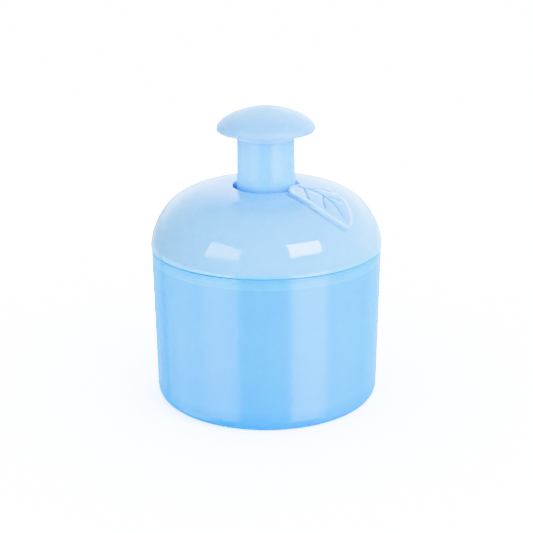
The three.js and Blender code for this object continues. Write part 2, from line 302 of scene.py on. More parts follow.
# ------------------------------------------------------------------ the leaf in relief
LEAF_AZ = math.radians(-46)
LEAF = [
    (11.15, 2.6), (11.4, 0.2), (13.0, -2.2), (15.6, -4.0), (20.0, -4.6), (25.4, -4.7), (30.1, -3.8),
    (33.2, -1.85), (35.0, 0.3), (35.7, 2.0), (35.6, 3.7), (34.7, 5.6), (32.8, 7.9), (30.1, 9.9),
    (26.7, 11.4), (22.6, 12.0), (18.4, 11.2), (14.3, 9.0), (11.9, 7.4), (10.75, 5.2),
]
MIDRIB = [(10.6, 3.5), (13.5, 3.9), (17.0, 4.5), (20.5, 4.8), (24.0, 4.55), (28.5, 3.95), (33.7, 3.1)]
VEINS = [
    [(14.2, 4.05), (15.9, 2.6), (19.2, 0.2), (23.4, -2.8)],
    [(15.4, 4.3), (16.8, 6.8), (18.7, 8.9), (21.8, 10.4)],
    [(22.6, 4.65), (24.3, 2.75), (26.8, 0.4), (29.2, -1.5)],
    [(23.8, 4.6), (24.8, 6.2), (26.0, 7.4), (27.3, 8.1)],
]
LEAF_RIM_H = 1.02  # crest of the leaf's raised edge above the dome
LEAF_H = 0.62  # the leaf's face above the dome
LEAF_RIM_W = 1.95
ROOT_AT, ROOT_HALF, ROOT_REACH = math.radians(13), math.radians(22), 0.85  # the leaf's root leans into the hole
VEIN_W, VEIN_DEPTH = 0.26, 0.5


def catmull(points, closed, per=14):
    p = np.array(points, float)
    n = len(p)
    out = []
    spans = n if closed else n - 1
    for i in range(spans):
        if closed:
            a, b, c, d = p[(i - 1) % n], p[i], p[(i + 1) % n], p[(i + 2) % n]
        else:
            a, b, c, d = p[max(0, i - 1)], p[i], p[i + 1], p[min(n - 1, i + 2)]
        for k in range(per):
            t = k / per
            out.append(0.5 * (2 * b + (c - a) * t + (2 * a - 5 * b + 4 * c - d) * t * t + (3 * b - a - 3 * c + d) * t ** 3))
    if not closed:
        out.append(p[-1])
    return np.array(out)


def chart(uv):
    """Plan points of the leaf as points of a flat map of the dome that keeps distances from the axis."""
    uv = np.asarray(uv, float)
    r = np.hypot(uv[:, 0], uv[:, 1])
    a = np.arctan2(uv[:, 1], uv[:, 0])
    s = np.interp(-r, -DOME_P[:, 0], DOME_S)
    rho = DOME_POLE_S - s
    return np.stack([rho * np.cos(a), rho * np.sin(a)], 1)


def distance_to(lines, q, foot=None):
    """Distance from each point of q to the nearest of the polylines, and how far along that is (0 to 1).
    foot, an array like q, is filled with the nearest points."""
    best = np.full(len(q), 1e9)
    along = np.zeros(len(q))
    for line in lines:
        seg = np.linalg.norm(np.diff(line, axis=0), axis=1)
        total = seg.sum()
        done = 0.0
        for a, b, l in zip(line[:-1], line[1:], seg):
            d = b - a
            t = np.clip(((q - a) @ d) / (d @ d), 0, 1)
            dist = np.linalg.norm(q - a - t[:, None] * d, axis=1)
            m = dist < best
            best[m] = dist[m]
            along[m] = (done + t[m] * l) / total
            if foot is not None:
                foot[m] = (a + t[:, None] * d)[m]
            done += l
    return best, along


def inside(poly, q):
    x, y = q[:, 0], q[:, 1]
    c = np.zeros(len(q), bool)
    for (x0, y0), (x1, y1) in zip(poly, np.roll(poly, -1, axis=0)):
        hit = ((y0 > y) != (y1 > y)) & (x < (x1 - x0) * (y - y0) / (y1 - y0 + 1e-12) + x0)
        c ^= hit
    return c


def smoothstep(x):
    x = np.clip(x, 0, 1)
    return x * x * (3 - 2 * x)


LOWER_SIDE = np.array([math.cos(math.radians(-123) - LEAF_AZ), math.sin(math.radians(-123) - LEAF_AZ)])
OUTLINE = chart(catmull(LEAF, True))
RIB = chart(catmull(MIDRIB, False))
VEIN_LINES = [chart(catmull(v, False)) for v in VEINS]


def leaf_relief(s, azimuth):
    """The relief at length s along the dome's curve and at an azimuth: its height above the dome, how much
    painted shade the spot gets as a crease (the foot of the raised edge, a vein), how much painted highlight
    it gets on the crest, and how far it lies on the leaf at all."""
    rho = DOME_POLE_S - s
    a = azimuth - LEAF_AZ
    q = np.stack([rho * np.cos(a), rho * np.sin(a)], 1)
    h, crease_shade, crest_highlight, cover = (np.zeros(len(q)) for _ in range(4))
    lo, hi = OUTLINE.min(0) - 2.0, OUTLINE.max(0) + 2.0
    near = np.all((q > lo) & (q < hi), axis=1)
    p = q[near]
    closed = np.vstack([OUTLINE, OUTLINE[:1]])
    foot = np.zeros_like(p)
    d, _ = distance_to([closed], p, foot)
    within_leaf = inside(OUTLINE, p)
    d = np.where(within_leaf, d, -d)
    out = (p - foot) * np.where(within_leaf, -1, 1)[:, None]
    out /= np.linalg.norm(out, axis=1)[:, None] + 1e-9
    far = smoothstep((out @ -LOWER_SIDE - 0.1) / 0.7)  # the side away from the front fades into the dome
    rise = smoothstep((d + 0.12 + 0.5 * far) / (0.55 + 1.6 * far))
    crest = 0.5 * (1 + np.cos(math.pi * np.clip((d - 0.85) / (LEAF_RIM_W - 0.85), -1, 1)))
    rib, t_rib = distance_to([RIB], p)
    side, t_side = distance_to(VEIN_LINES, p)
    upper = distance_to(VEIN_LINES[1::2], p)[0] <= side + 1e-9
    weak = np.where(upper, 0.55, 1.0)
    # the face swells a little between the veins
    swell = 0.16 * (1 - np.exp(-(np.minimum(rib, side * 1.15) / 1.3) ** 2))
    face = LEAF_H + swell
    body = rise * (face + (LEAF_RIM_H - 0.38 * far - face) * crest)
    body *= 1 + 0.32 * np.exp(-((np.linalg.norm(p, axis=1) - (DOME_POLE_S - DOME_TOP_S)) / 3.0) ** 2)
    fade_rib = smoothstep((1 - t_rib) / 0.08) * smoothstep(t_rib / 0.02 + 0.4)
    fade_side = smoothstep((1 - t_side) / 0.2)
    within = smoothstep((d - 0.9) / 0.7)
    cut = np.maximum(
        VEIN_DEPTH * fade_rib * np.exp(-(rib / VEIN_W) ** 2),
        VEIN_DEPTH * 0.9 * weak * fade_side * np.exp(-(side / (VEIN_W * 0.92)) ** 2),
    )
    h[near] = body - cut * within
    # painted shade: the foot is darkest along the lower side of the leaf, where its wall is steepest
    lower = smoothstep((out @ LOWER_SIDE - 0.15) / 0.6)
    foot_at = np.where(d > -0.3, np.exp(-((d + 0.3) / 0.24) ** 2), np.exp(-((d + 0.3) / 0.75) ** 2))
    base_end = smoothstep((np.linalg.norm(p, axis=1) - 11.0) / 24.0)
    # the veins get painted shade as well
    lines = within * np.maximum(fade_rib * np.exp(-(rib / 0.27) ** 2), weak ** 2 * fade_side * np.exp(-(side / 0.25) ** 2))
    crease_shade[near] = np.maximum(foot_at * lower * (1 - 0.55 * base_end), 0.62 * lines)
    # painted highlight along the crest of the raised edge
    crest_highlight[near] = np.exp(-((d - 0.8) / 0.5) ** 2) * (1 - 0.9 * far)
    cover[near] = rise
    return h, crease_shade, crest_highlight, cover


# ------------------------------------------------------------------ pieces
def make_cup():
    outer = arc_points(34.9, 4.6, 3.9, 4.6, -90, 0, 15)
    inner = arc_points(32.4, 7.4, 4.3, 5.0, 0, -90, 11)
    wall = [(38.8 + (39.8 - 38.8) * k / 14, 4.6 + (SEAM_Z - 4.6) * k / 14) for k in range(1, 14)]
    bore = [(37.6 + (36.7 - 37.6) * k / 11, LEDGE_Z + (7.4 - LEDGE_Z) * k / 11) for k in range(1, 11)]
    prof = [(0, 0.8), (1.4, 0.8, 0.1), (1.7, 0.62, 0.1), (2.1, 0.62, 0.1), (2.4, 0.8, 0.1), (28.9, 0.8, 0.35), (29.7, 0.0, 0.5)]
    prof += outer + wall
    prof += [(39.8, SEAM_Z, 0.3), (38.45, SEAM_Z, 0.3), (38.45, LEDGE_Z, 0.15), (37.6, LEDGE_Z, 0.25)]
    prof += bore + inner + [(0, 2.4)]
    return lathe("cup_shell", rounded(prof, arc=5, step=4, closed=False), seg=192, closed=False)


def make_dome():
    # columns: close together round the leaf, wider elsewhere
    a0, a1 = LEAF_AZ - math.radians(30), LEAF_AZ + math.radians(55)
    fine = np.linspace(a0, a1, 240)
    rest = np.linspace(a1, a0 + 2 * math.pi, 122)[1:-1]
    th = np.concatenate([fine, rest])
    # rows of the outer face: from the lower edge's rounding up to the hole's
    s_leaf = DOME_POLE_S - (np.hypot(OUTLINE[:, 0], OUTLINE[:, 1]).max() + 0.5)
    edge, hole = 0.3, 0.4
    rows = np.concatenate([
        np.linspace(edge, s_leaf, 21)[:-1],
        np.linspace(s_leaf, DOME_TOP_S - hole, 154),
    ])
    r = np.interp(rows, DOME_S, DOME_P[:, 0])
    z = np.interp(rows, DOME_S, DOME_P[:, 1])
    nr = np.interp(rows, DOME_S, DOME_N[:, 0])
    nz = np.interp(rows, DOME_S, DOME_N[:, 1])
    prof = [(r[k], z[k], nr[k], nz[k], rows[k], 1.0) for k in range(len(rows))]
    # hole's rounded edge, its wall, and the tube under it; the relief lifts the edge straight up
    zt = z[-1]
    top = (nr[-1], nz[-1], DOME_TOP_S)
    for a in np.linspace(0, 90, 6)[1:]:
        t = math.radians(a)
        prof.append((HOLE_R + hole - hole * math.sin(t), zt - hole + hole * math.cos(t), 0.0, 1.0, DOME_TOP_S - hole, 1.0))
    inner = []
    for phi in np.linspace(0.02, 1.45, 12):
        rr, zz = dome_point(phi)
        d = np.array(dome_point(phi + 1e-4)) - np.array(dome_point(phi - 1e-4))
        d /= np.linalg.norm(d)
        inner.append((rr - 1.8 * d[1], zz + 1.8 * d[0]))
    inner = [p for p in inner if p[1] > 59.6 and p[0] > COLLAR_R + 0.9][::-1]
    under = [(HOLE_R, zt - 1.2), (HOLE_R, 74.0), (HOLE_R, COLLAR_Z, 0.25), (COLLAR_R, COLLAR_Z, 0.25), (COLLAR_R, inner[0][1] + 0.02, 0.6)]
    under += inner
    under += [(37.2, PLUG_TOP_Z + GAP, 0.2), (38.35, PLUG_TOP_Z + GAP, 0.1), (38.35, 56.9, 0.2), (37.95, 56.5, 0.15),
              (37.95, 56.1, 0.15), (38.35, 55.7, 0.2), (38.35, DOME_Z, 0.25)]
    low = (float(np.interp(0.0, DOME_S, DOME_P[:, 0])), DOME_Z)
    chain = rounded([(HOLE_R, zt - hole)] + under + [(low[0], low[1], 0.3), (r[0], z[0])], arc=4, step=3.2, closed=False)
    for p in chain[1:-1]:
        prof.append((p[0], p[1], 0, 0, 0, 0))
    p = np.array(prof)
    n, m = len(p), len(th)
    R = np.repeat(p[:, 0:1], m, 1)
    Z = np.repeat(p[:, 1:2], m, 1)
    k = np.where(p[:, 5] > 0)[0]
    S = np.repeat(p[k, 4:5], m, 1)
    A = np.repeat(((th + math.pi) % (2 * math.pi) - math.pi)[None, :], len(k), 0)
    H, crease_shade, crest, cover = (x.reshape(S.shape) for x in leaf_relief(S.ravel(), A.ravel()))
    R[k] += H * p[k, 2:3]
    Z[k] += H * p[k, 3:4]
    # under the leaf's root the hole's rim leans inwards
    turn = (th - LEAF_AZ - ROOT_AT + math.pi) % (2 * math.pi) - math.pi
    lean = ROOT_REACH * np.cos(math.pi / 2 * np.clip(turn / ROOT_HALF, -1, 1)) ** 2
    R[k] -= lean[None, :] * smoothstep((HOLE_R + 2.2 - p[k, 0:1]) / 1.8)
    v = np.stack([R * np.cos(th), R * np.sin(th), Z], -1).reshape(-1, 3)
    i, j = np.meshgrid(np.arange(n), np.arange(m), indexing="ij")
    i2, j2 = (i + 1) % n, (j + 1) % m
    # the profile runs up the outer face, so it is counter-clockwise
    f = np.stack([i * m + j, i * m + j2, i2 * m + j2, i2 * m + j], -1).reshape(-1, 4)
    ob = mesh_from("dome_shell", v, f.tolist())
    # masks for the leaf's painted shade (crease) and painted highlight (crest), and where the leaf covers the dome
    for name, values in (("crease_shade", crease_shade), ("crest", crest), ("cover", cover)):
        full = np.zeros((n, m))
        full[k] = values
        at = ob.data.attributes.new(name, "FLOAT", "POINT")
        at.data.foreach_set("value", full.ravel().astype(np.float32))
    return ob


def make_plug():
    body = rounded([
        (1.0, PLATE_Z, 0), (PLUG_R, PLATE_Z, 0.55), (PLUG_R, 52.2, 0.08), (37.1, 52.2, 0.15), (37.1, 53.6, 0.15),
        (PLUG_R, 53.6, 0.08), (PLUG_R, 55.4, 0.2), (37.6, 55.8, 0.2), (37.6, 56.9, 0.2), (PLUG_R, 57.3, 0.2),
        (PLUG_R, PLUG_TOP_Z, 0.35), (PLUG_R - PLUG_T, PLUG_TOP_Z, 0.35), (PLUG_R - PLUG_T, PLATE_Z + PLATE_T, 0.8),
        (GUIDE_R, PLATE_Z + PLATE_T, 0.6), (GUIDE_R, GUIDE_TOP_Z, 0.45), (1.0, GUIDE_TOP_Z, 0),
    ], arc=5, step=4)
    ob = lathe("lid_plug_body", body, seg=144)
    core = lathe("core", [(0, PLATE_Z + 0.0), (1.6, PLATE_Z + 0.0), (1.6, GUIDE_TOP_Z), (0, GUIDE_TOP_Z)], seg=24, closed=False)
    boolean(ob, core, "UNION")
    for k in range(6):
        rib = prism("rib", [rounded([(15.0, -0.7, 0.2), (36.9, -0.7, 0), (36.9, 0.7, 0), (15.0, 0.7, 0.2)], support=0.1)],
                    PLATE_Z + PLATE_T - 0.5, 3.9, bevel=0.22)
        rib.data.transform(Matrix.Rotation((k + 0.5) * math.pi / 3, 4, "Z"))
        boolean(ob, rib, "UNION")
    bore = prism("bore", [cross_outline(ROD_R + ROD_CLEAR, ROD_WEB + 2 * ROD_CLEAR)], PLATE_Z - 3, GUIDE_TOP_Z - PLATE_Z + 6, bevel=0.01, res=0)
    boolean(ob, bore, "DIFFERENCE")
    return sharpen(ob)


def make_seal():
    prof = [(37.35, 52.45, 0.15), (38.05, 52.45, 0.2), (38.3, 52.9, 0.25), (38.05, 53.35, 0.2), (37.35, 53.35, 0.15)]
    return lathe("seal_ring", rounded(prof, arc=5), seg=160)


def make_spring():
    lo, hi = PLATE_Z + PLATE_T + GAP + WIRE_R, SEAT_Z - GAP - WIRE_R
    sides, steps = 12, 44
    n = int(COILS * steps)
    lie = 0.7
    rise = (hi - lo - 2 * lie) / (COILS - 2)
    pts = []
    for i in range(n + 1):
        t = COILS * i / n
        z = lo + lie * t if t < 1 else hi - lie * (COILS - t) if t > COILS - 1 else lo + lie + rise * (t - 1)
        a = 2 * math.pi * t
        pts.append((COIL_R * math.cos(a), COIL_R * math.sin(a), z))
    pts = np.array(pts)
    z = pts[:, 2].copy()
    for _ in range(10):  # soften where the end coils leave the pitch
        z[1:-1] = 0.25 * z[:-2] + 0.5 * z[1:-1] + 0.25 * z[2:]
    pts[:, 2] = z
    tang = np.gradient(pts, axis=0)
    tang /= np.linalg.norm(tang, axis=1)[:, None]
    rad = pts * [1, 1, 0]
    rad /= np.linalg.norm(rad, axis=1)[:, None]
    bi = np.cross(tang, rad)
    ang = np.arange(sides) * 2 * math.pi / sides
    v, f = [], []
    for i in range(n + 1):
        for a in ang:
            v.append(pts[i] + WIRE_R * (math.cos(a) * rad[i] + math.sin(a) * bi[i]))
    for i in range(n):
        for j in range(sides):
            j2 = (j + 1) % sides
            f.append([i * sides + j, (i + 1) * sides + j, (i + 1) * sides + j2, i * sides + j2])
    for i, d, flip in ((0, -1, False), (n, 1, True)):  # cut ends with a small dome
        base = len(v)
        for q, off in ((0.72, 0.28),):
            for a in ang:
                v.append(pts[i] + d * tang[i] * WIRE_R * off + WIRE_R * q * (math.cos(a) * rad[i] + math.sin(a) * bi[i]))
        for j in range(sides):
            j2 = (j + 1) % sides
            quad = [i * sides + j, i * sides + j2, base + j2, base + j]
            f.append(quad if not flip else quad[::-1])
        cap = [base + j for j in range(sides)]
        f.append(cap if not flip else cap[::-1])
    ob = mesh_from("spring_coil", v, f)
    bm = bmesh.new()
    bm.from_mesh(ob.data)
    bmesh.ops.recalc_face_normals(bm, faces=bm.faces)
    bm.to_mesh(ob.data)
    bm.free()
    return ob


def make_knob():
    crown = []
    for a in np.linspace(0, 1, 46):
        r = KNOB_R * math.cos(a * math.pi / 2) ** 1.3
        crown.append((r, knob_z(r)))
    crown[-1] = (0.0, knob_z(0))
    rim = [(16.4, 94.72), (16.0, 94.6), (15.6, 94.7), (15.25, 95.1)]
    start = [(16.84, 95.2), (16.68, 94.92)]
    under = []
    for r in np.linspace(15.1, 11.6, 9):
        under.append((r - 0.15, knob_z(min(16.6, r + 0.75)) - 1.8))
    prof = [(0, ROD_TOP_Z + GAP), (4.55, ROD_TOP_Z + GAP, 0.2), (4.55, BOSS_Z, 0.25), (6.0, BOSS_Z, 0.3), (6.0, SEAT_Z, 0.35),
            (8.3, SEAT_Z, 0.3), (8.3, KNOB_Z, 0.15), (10.1, KNOB_Z, 0.1), (10.1, 97.3, 0.5)]
    prof += under[::-1] + rim[::-1] + start[::-1] + crown
    return lathe("knob_shell", rounded(prof, arc=5, step=3, closed=False), seg=160, closed=False)


def make_stem():
    prof = [(STEM_IN_R, STEM_Z, 0.25), (13.0, STEM_Z, 0.3), (13.0, STEM_Z + 1.5, 0.3), (STEM_R, STEM_Z + 1.5, 0.5),
            (STEM_TOP_R, KNOB_Z - 0.08, 0.06), (STEM_IN_R, KNOB_Z - 0.08, 0.06)]
    return lathe("stem_shell", rounded(prof, arc=5, step=2.5), seg=128)


def make_rod():
    z0 = DISC_Z + 6.2
    ob = prism("rod_cross", [cross_outline(ROD_R, ROD_WEB)], z0 + 0.5, ROD_TOP_Z - 7 - z0, bevel=0.15)
    head = lathe("head", rounded([(0, ROD_TOP_Z - 8), (ROD_R, ROD_TOP_Z - 8, 0.5), (ROD_R, ROD_TOP_Z, 0.5), (0, ROD_TOP_Z)], closed=False), seg=48, closed=False)
    boolean(ob, head, "UNION")
    foot = lathe("foot", rounded([
        (0, DISC_Z - 3.1), (STUD_R, DISC_Z - 3.1, 0.35), (STUD_R, z0, 0.2), (7.0, z0, 0.25), (7.0, z0 + 1.2, 0.35),
        (5.0, z0 + 1.9, 1.0), (0, z0 + 1.9)], closed=False), seg=64, closed=False)
    boolean(ob, foot, "UNION")
    return sharpen(ob)


def make_upper_frame():
    return prism("disc_upper_grille", [ring_outline(DISC_R, 144), *window_outlines(), ring_outline(STUD_R + 0.35, 32)], DISC_Z + 4.1, 1.8, bevel=0.3)


def make_spacer():
    return prism("net_spacer_grille", [ring_outline(33.0, 144), *window_outlines(), ring_outline(STUD_R + 0.35, 32)], DISC_Z + 2.4, 0.9, bevel=0.2)


def make_lower_frame():
    ob = prism("disc_lower_grille", [ring_outline(DISC_R, 144), *window_outlines(), ring_outline(STUD_R + 0.35, 32)], DISC_Z, 1.6, bevel=0.3)
    rim = lathe("rim", rounded([(33.4, DISC_Z + 0.7, 0), (DISC_R - 0.02, DISC_Z + 0.7, 0), (DISC_R - 0.02, DISC_Z + 3.8, 0.3), (33.4, DISC_Z + 3.8, 0.3)]), seg=144)
    boolean(ob, rim, "UNION")
    return sharpen(ob)


def make_nut():
    pts = []
    n = 24 * 8
    for i in range(n):
        a = 2 * math.pi * i / n
        r = 7.7 + 0.3 * math.tanh(2.2 * math.cos(12 * a)) / math.tanh(2.2)
        pts.append((r * math.cos(a), r * math.sin(a)))
    return prism("nut_fluted", [np.array(pts), ring_outline(STUD_R + 0.35, 40)], DISC_Z - 3.1, 2.8, bevel=0.35)


def make_net(name, z, turn):
    """A woven net: two sets of round threads that pass over and under each other, welded to a flat
    hem round its edge and round the stud hole."""
    pitch, d, R, hole = 1.2, 0.34, 32.2, 4.3
    amp = 0.055
    zc = z + 0.15
    sides = 6
    v, f = [], []
    n = int(R / pitch)
    for axis in (0, 1):
        for k in range(-n, n + 1):
            y = k * pitch
            half = math.sqrt(max(0.0, R * R - y * y))
            if half < 2 * pitch:
                continue
            spans = [(-half, half)]
            if abs(y) < hole:
                gap = math.sqrt(hole * hole - y * y)
                spans = [(-half, -gap), (gap, half)]
            for x0, x1 in spans:
                steps = max(3, int(round((x1 - x0) / (pitch / 2))))
                base = len(v)
                for s in range(steps + 1):
                    x = x0 + (x1 - x0) * s / steps
                    w = math.cos(math.pi * x / pitch + (0 if (k % 2 == 0) else math.pi))
                    zz = zc + amp * w * (1 if axis == 0 else -1)
                    for q in range(sides):
                        a = q * 2 * math.pi / sides
                        dy, dz = d / 2 * math.cos(a), 0.3 * d * math.sin(a)
                        v.append((x, y + dy, zz + dz) if axis == 0 else (y + dy, x, zz + dz))
                for s in range(steps):
                    for q in range(sides):
                        q2 = (q + 1) % sides
                        quad = [base + s * sides + q, base + (s + 1) * sides + q, base + (s + 1) * sides + q2, base + s * sides + q2]
                        f.append(quad if axis == 0 else quad[::-1])
                a, b = [base + q for q in range(sides)], [base + steps * sides + q for q in range(sides)]
                f.append(a if axis == 0 else a[::-1])
                f.append(b[::-1] if axis == 0 else b)
    ob = mesh_from(name, v, f)
    for r0, r1, seg in ((31.7, 33.0, 144), (STUD_R + 0.35, 4.7, 48)):
        hem = lathe("hem", rounded([(r0, z, 0.12), (r1, z, 0.12), (r1, z + 0.3, 0.12), (r0, z + 0.3, 0.12)], arc=3, support=0.05), seg=seg)
        bm = bmesh.new()
        bm.from_mesh(ob.data)
        bm.from_mesh(hem.data)
        bm.to_mesh(ob.data)
        bm.free()
        bpy.data.objects.remove(hem)
    ob.data.transform(Matrix.Rotation(turn, 4, "Z"))
    ob.data.shade_smooth()
    bm = bmesh.new()
    bm.from_mesh(ob.data)
    bmesh.ops.recalc_face_normals(bm, faces=bm.faces)
    bm.to_mesh(ob.data)
    bm.free()
    return ob


# ------------------------------------------------------------------ materials
def srgb(r, g, b):
    """A colour given as display values from 0 to 255, as linear values."""
    c = [x / 255 for x in (r, g, b)]
    return tuple(x / 12.92 if x <= 0.04045 else ((x + 0.055) / 1.055) ** 2.4 for x in c) + (1.0,)


class Nodes:
    def __init__(self, name):
        self.mat = bpy.data.materials.new(name)
        self.mat.use_nodes = True
        self.t = self.mat.node_tree
        self.t.nodes.clear()
        self.out = self.t.nodes.new("ShaderNodeOutputMaterial")
        self.b = self.t.nodes.new("ShaderNodeBsdfPrincipled")
        self.t.links.new(self.b.outputs[0], self.out.inputs[0])
        self.coord = self.t.nodes.new("ShaderNodeTexCoord")

    def link(self, a, b):
        self.t.links.new(a, b)

    def noise(self, scale, detail=2.0, rough=0.5, stretch=None, distortion=0.0):
        n = self.t.nodes.new("ShaderNodeTexNoise")
        n.inputs["Scale"].default_value = scale
        n.inputs["Detail"].default_value = detail
        n.inputs["Roughness"].default_value = rough
        n.inputs["Distortion"].default_value = distortion
        if stretch:
            m = self.t.nodes.new("ShaderNodeMapping")
            m.inputs["Scale"].default_value = stretch
            self.link(self.coord.outputs["Object"], m.inputs["Vector"])
            self.link(m.outputs[0], n.inputs["Vector"])
        else:
            self.link(self.coord.outputs["Object"], n.inputs["Vector"])
        return n.outputs["Fac"]

    def ramp(self, fac, stops, mode="LINEAR"):
        r = self.t.nodes.new("ShaderNodeValToRGB")
        r.color_ramp.interpolation = mode
        e = r.color_ramp.elements
        while len(e) < len(stops):
            e.new(0.5)
        for i, (pos, col) in enumerate(stops):
            e[i].position = pos
            e[i].color = col if isinstance(col, tuple) else (col, col, col, 1)
        self.link(fac, r.inputs[0])
        return r.outputs[0]

    def map(self, fac, a, b, c, d, clamp=True):
        m = self.t.nodes.new("ShaderNodeMapRange")
        m.clamp = clamp
        m.inputs[1].default_value, m.inputs[2].default_value = a, b
        m.inputs[3].default_value, m.inputs[4].default_value = c, d
        self.link(fac, m.inputs[0])
        return m.outputs[0]

    def math(self, op, a, b=None):
        m = self.t.nodes.new("ShaderNodeMath")
        m.operation = op
        for i, x in enumerate((a, b)):
            if x is None:
                continue
            if isinstance(x, (int, float)):
                m.inputs[i].default_value = x
            else:
                self.link(x, m.inputs[i])
        return m.outputs[0]

    def mix(self, fac, a, b, mode="MIX"):
        m = self.t.nodes.new("ShaderNodeMix")
        m.data_type = "RGBA"
        m.blend_type = mode
        for sock, x in ((m.inputs[0], fac), (m.inputs[6], a), (m.inputs[7], b)):
            if isinstance(x, (int, float, tuple)):
                sock.default_value = x
            else:
                self.link(x, sock)
        return m.outputs[2]

    def attribute(self, name):
        a = self.t.nodes.new("ShaderNodeAttribute")
        a.attribute_name = name
        return a.outputs["Fac"]

    def position(self):
        s = self.t.nodes.new("ShaderNodeSeparateXYZ")
        self.link(self.coord.outputs["Object"], s.inputs[0])
        return s.outputs[0], s.outputs[1], s.outputs[2]

    def bump(self, height, strength, distance):
        n = self.t.nodes.new("ShaderNodeBump")
        n.inputs["Strength"].default_value = strength
        n.inputs["Distance"].default_value = distance
        self.link(height, n.inputs["Height"])
        self.link(n.outputs[0], self.b.inputs["Normal"])
        return n

    def set(self, **kw):
        for k, x in kw.items():
            self.b.inputs[k.replace("_", " ")].default_value = x
        return self


def pale_plastic(name, dome=False):
    """Opaque polished pale blue: a soft surface tone that drifts very little, moulded gloss. The knob's copy is a
    shade darker, painted shade. On the dome the leaf's creases get painted shade and its crests a painted
    highlight, the lower edge at the seam painted shade, and the ring round the hole painted shade and reflection
    of the stem. The right side of the hole's wall and the knob's collar and lip glow with painted light."""
    m = Nodes(name)
    tone = m.noise(18.0, 2.0, 0.5)
    # the knob's copy is a shade darker than the dome's: painted shade
    lo, hi = ((176, 212, 240), (179, 215, 242)) if dome else ((174, 208, 235), (177, 211, 238))
    base = m.mix(m.map(tone, 0.35, 0.65, 0, 1), srgb(*lo), srgb(*hi))
    x, y, z = m.position()
    if dome:
        # painted highlight on the leaf's crests, painted shade in its creases and veins
        base = m.mix(m.math("MULTIPLY", m.attribute("crest"), 0.6), base, srgb(210, 232, 247))
        base = m.mix(m.math("MULTIPLY", m.attribute("crease_shade"), 0.95), base, srgb(104, 166, 222))
        # painted shade at the seam: a deeper blue along the dome's lower edge
        base = m.mix(m.map(z, 0.0549, 0.0566, 0.75, 0.0), base, srgb(151, 216, 247))
        # painted shade and reflection of the stem on the dome round the hole, kept off the leaf
        stem_shade_round_hole = m.math("MULTIPLY", m.map(z, 0.071, 0.0756, 0.0, 0.42), m.map(m.attribute("cover"), 0.0, 1.0, 1.0, 0.0))
        base = m.mix(stem_shade_round_hole, base, srgb(146, 197, 236))
        # painted light: the right side of the hole's wall glows
        r = m.math("SQRT", m.math("ADD", m.math("MULTIPLY", x, x), m.math("MULTIPLY", y, y)))
        wall = m.math("MULTIPLY", m.map(r, 0.01165, 0.0119, 1.0, 0.0), m.map(z, 0.066, 0.07, 0.0, 1.0))
        lit = m.math("MULTIPLY", wall, m.map(x, 0.004, 0.009, 0.0, 0.42))
    else:
        # painted light: the knob's collar and the underside of its lip glow
        lit = m.math("ADD", m.map(z, 0.0953, 0.0959, 0.26, 0.0), m.map(z, 0.0936, 0.0946, 0.4, 0.0))
        lit = m.math("MULTIPLY", lit, m.map(z, 0.0918, 0.0922, 0.0, 1.0))
    m.link(base, m.b.inputs["Emission Color"])
    m.link(lit, m.b.inputs["Emission Strength"])
    m.link(base, m.b.inputs["Base Color"])
    m.set(IOR=1.49, Subsurface_Weight=0.7, Subsurface_Scale=0.0018, Subsurface_Radius=(0.7, 0.9, 1.0))
    wear = m.noise(260.0, 3.0, 0.55)
    if dome:
        soft = m.math("ADD", m.math("MULTIPLY", m.attribute("crest"), 0.3), m.math("MULTIPLY", m.attribute("crease_shade"), 0.2))
        m.link(m.math("ADD", m.map(wear, 0.3, 0.7, 0.03, 0.055), soft), m.b.inputs["Roughness"])
    else:
        m.link(m.map(wear, 0.3, 0.7, 0.3, 0.36), m.b.inputs["Roughness"])
    m.bump(m.noise(420.0, 2.0, 0.5), 0.05, 0.00012)
    return m.mat


